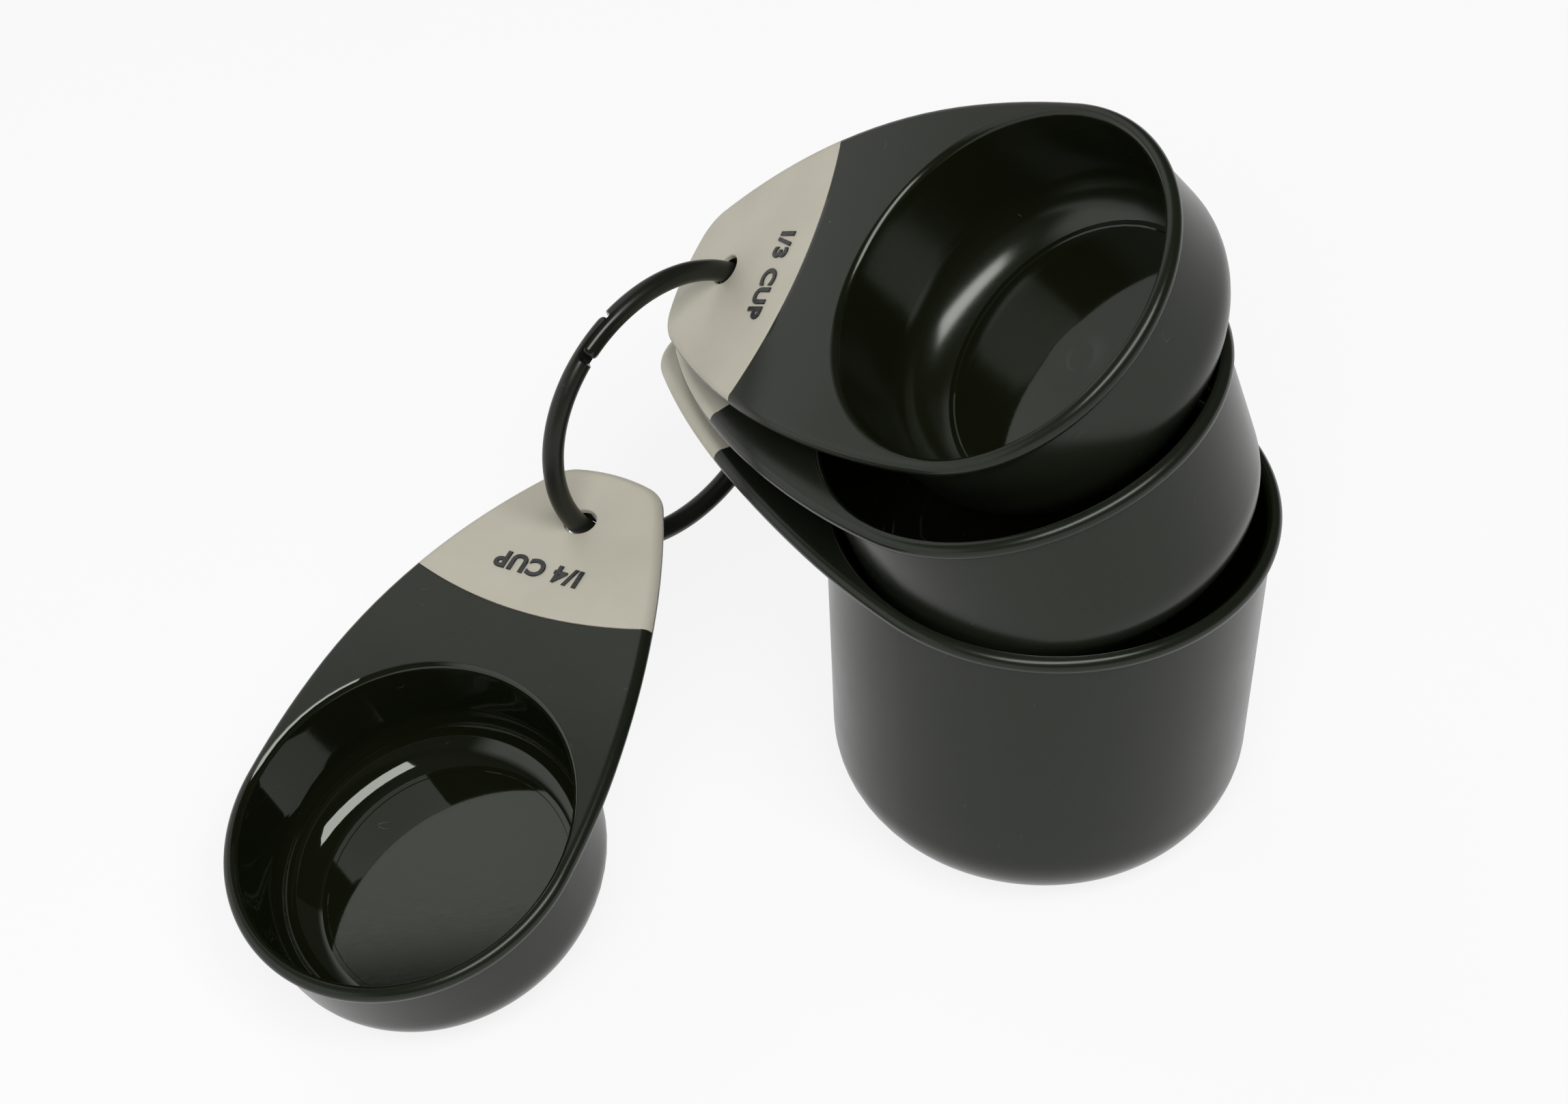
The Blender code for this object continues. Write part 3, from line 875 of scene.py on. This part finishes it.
def shown_white(tree):
    """1 for rays that show the background: seen by the camera, mirrored or through something clear."""
    light_path = tree.nodes.new("ShaderNodeLightPath")
    shown = light_path.outputs["Is Camera Ray"]
    for kind in ("Is Glossy Ray", "Is Transmission Ray"):
        either = tree.nodes.new("ShaderNodeMath")
        either.operation = "MAXIMUM"
        tree.links.new(shown, either.inputs[0])
        tree.links.new(light_path.outputs[kind], either.inputs[1])
        shown = either.outputs["Value"]
    return shown


def add_stage():
    """White sweep: the floor shows white and keeps a soft shadow under the cups."""
    shape = bmesh.new()
    bmesh.ops.create_grid(shape, x_segments=1, y_segments=1, size=FLOOR_SIZE / 2.0)
    material = bpy.data.materials.new("white_sweep")
    material.use_nodes = True
    tree = material.node_tree
    tree.nodes.clear()
    output = tree.nodes.new("ShaderNodeOutputMaterial")
    diffuse = tree.nodes.new("ShaderNodeBsdfDiffuse")
    diffuse.inputs["Color"].default_value = (FLOOR_TONE, FLOOR_TONE, FLOOR_TONE, 1.0)
    glow = tree.nodes.new("ShaderNodeEmission")
    share = tree.nodes.new("ShaderNodeMath")
    share.operation = "MULTIPLY"
    share.inputs[1].default_value = FLOOR_GLOW
    mix = tree.nodes.new("ShaderNodeMixShader")
    tree.links.new(shown_white(tree), share.inputs[0])
    tree.links.new(share.outputs["Value"], mix.inputs["Fac"])
    tree.links.new(diffuse.outputs["BSDF"], mix.inputs[1])
    tree.links.new(glow.outputs["Emission"], mix.inputs[2])
    tree.links.new(mix.outputs["Shader"], output.inputs["Surface"])
    floor = to_object("floor", shape, (material,), CREASE)
    floor.location.z = -FLOOR_GAP


def add_world():
    """Dim room with a white wall behind, brighter higher up, and a pale stretch low on the left."""
    world = bpy.data.worlds.new("studio")
    bpy.context.scene.world = world
    world.use_nodes = True
    tree = world.node_tree
    tree.nodes.clear()
    output = tree.nodes.new("ShaderNodeOutputWorld")
    background = tree.nodes.new("ShaderNodeBackground")
    background.inputs["Color"].default_value = (1.0, 1.0, 1.0, 1.0)
    direction = tree.nodes.new("ShaderNodeSeparateXYZ")
    tree.links.new(tree.nodes.new("ShaderNodeTexCoord").outputs["Generated"], direction.inputs["Vector"])

    def ramp(axis, span, tones):
        node = tree.nodes.new("ShaderNodeMapRange")
        node.interpolation_type = "SMOOTHSTEP"
        for name, value in zip(("From Min", "From Max", "To Min", "To Max"), span + tones):
            node.inputs[name].default_value = value
        tree.links.new(direction.outputs[axis], node.inputs["Value"])
        return node.outputs["Result"]

    def combine(operation, first, second):
        node = tree.nodes.new("ShaderNodeMath")
        node.operation = operation
        tree.links.new(first, node.inputs[0])
        tree.links.new(second, node.inputs[1])
        return node.outputs["Value"]

    wall_tone = ramp("Z", WALL_RISE, (WALL_LOW, WALL_HIGH))
    back_wall = combine("MULTIPLY", ramp("Y", WALL_EDGE, (ROOM_TONE, 1.0)), wall_tone)
    back_wall = combine("MULTIPLY", back_wall, ramp("X", RIGHT_FADE, (1.0, RIGHT_SHARE)))
    left_tone = ramp("Z", LEFT_FALL, (LEFT_TONE, 0.0))
    left_side = combine("MULTIPLY", ramp("X", LEFT_EDGE, (1.0, ROOM_TONE)), left_tone)
    tree.links.new(combine("MAXIMUM", back_wall, left_side), background.inputs["Strength"])
    tree.links.new(background.outputs["Background"], output.inputs["Surface"])


def add_key_softbox():
    light = bpy.data.lights.new("key_softbox", "AREA")
    light.shape = "RECTANGLE"
    light.size, light.size_y = KEY_SIZE
    light.energy = KEY_WATTS
    item = link_object("key_softbox", light)
    across = KEY_DIRECTION.cross(KEY_LONG_SIDE).normalized()
    along = across.cross(KEY_DIRECTION)
    turn = Matrix((along, across, KEY_DIRECTION)).transposed().to_4x4()
    item.matrix_world = Matrix.Translation(KEY_TARGET + KEY_DIRECTION * KEY_DISTANCE) @ turn
    item.visible_camera = False


def add_camera():
    camera = bpy.data.cameras.new("camera")
    camera.sensor_width = SENSOR_WIDTH
    camera.lens = FOCAL_PIXELS / IMAGE_WIDTH * SENSOR_WIDTH
    camera.clip_end = CAMERA_REACH
    item = link_object("camera", camera)
    item.location = CAMERA_PLACE
    item.rotation_euler = (CAMERA_TILT, 0.0, 0.0)
    bpy.context.scene.camera = item


def place_piece(item, placement, body, node):
    """Moves the mesh itself to its place, so that the object's box stays tight, and binds the piece."""
    item.data.transform(placement)
    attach(item, body)
    if node:
        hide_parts(node)


def add_cups():
    gloss = gloss_black("polished_black_plastic", specular=0.5, low=0.03, high=0.07)
    wall_gloss = gloss_black("lightly_polished_black_plastic", specular=0.35, low=0.15, high=0.18)
    soft_gloss = gloss_black("half_polished_black_plastic", specular=0.5, low=0.2, high=0.23)
    satin = satin_black("satin_black_plastic", BLACK_SATIN, specular=0.3, low=0.22, high=0.28)
    beige = beige_grip()
    lettering = letter_black()
    for cup in CUPS:
        placement = cup_placement(cup)
        corner_and_wall = (soft_gloss, wall_gloss) if cup is THIRD else (gloss, gloss)
        body = cup_object(cup, (gloss, satin, *corner_and_wall))
        grip = grip_object(cup, beige)
        pin = hole_cutter(cup)
        cut_hole(body, pin)
        cut_hole(grip, pin)
        bpy.data.objects.remove(pin, do_unlink=True)
        place_piece(body, placement, cup.body, cup.name)
        place_piece(grip, placement, cup.body, cup.name + "_grip")
        place_piece(letter_object(cup, lettering), placement, cup.body, None)


def add_ring():
    placement = ring_placement()
    lap_place = placement @ ring_point(LAP_MIDDLE)
    satin = satin_black("black_ring_plastic", BLACK_RING, specular=0.32, low=0.3, high=0.38,
                        worn_place=lap_place)
    place_piece(ring_object(satin), placement, "ring", "carrier_ring")


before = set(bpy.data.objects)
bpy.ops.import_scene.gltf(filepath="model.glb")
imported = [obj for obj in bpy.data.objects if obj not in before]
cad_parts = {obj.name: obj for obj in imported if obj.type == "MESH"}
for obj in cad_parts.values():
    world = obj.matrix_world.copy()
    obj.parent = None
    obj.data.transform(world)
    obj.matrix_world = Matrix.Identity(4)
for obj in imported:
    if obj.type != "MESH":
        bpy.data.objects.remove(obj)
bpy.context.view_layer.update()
bpy.context.scene.view_settings.view_transform = "Standard"
add_cups()
add_ring()
add_stage()
add_world()
add_key_softbox()
add_camera()
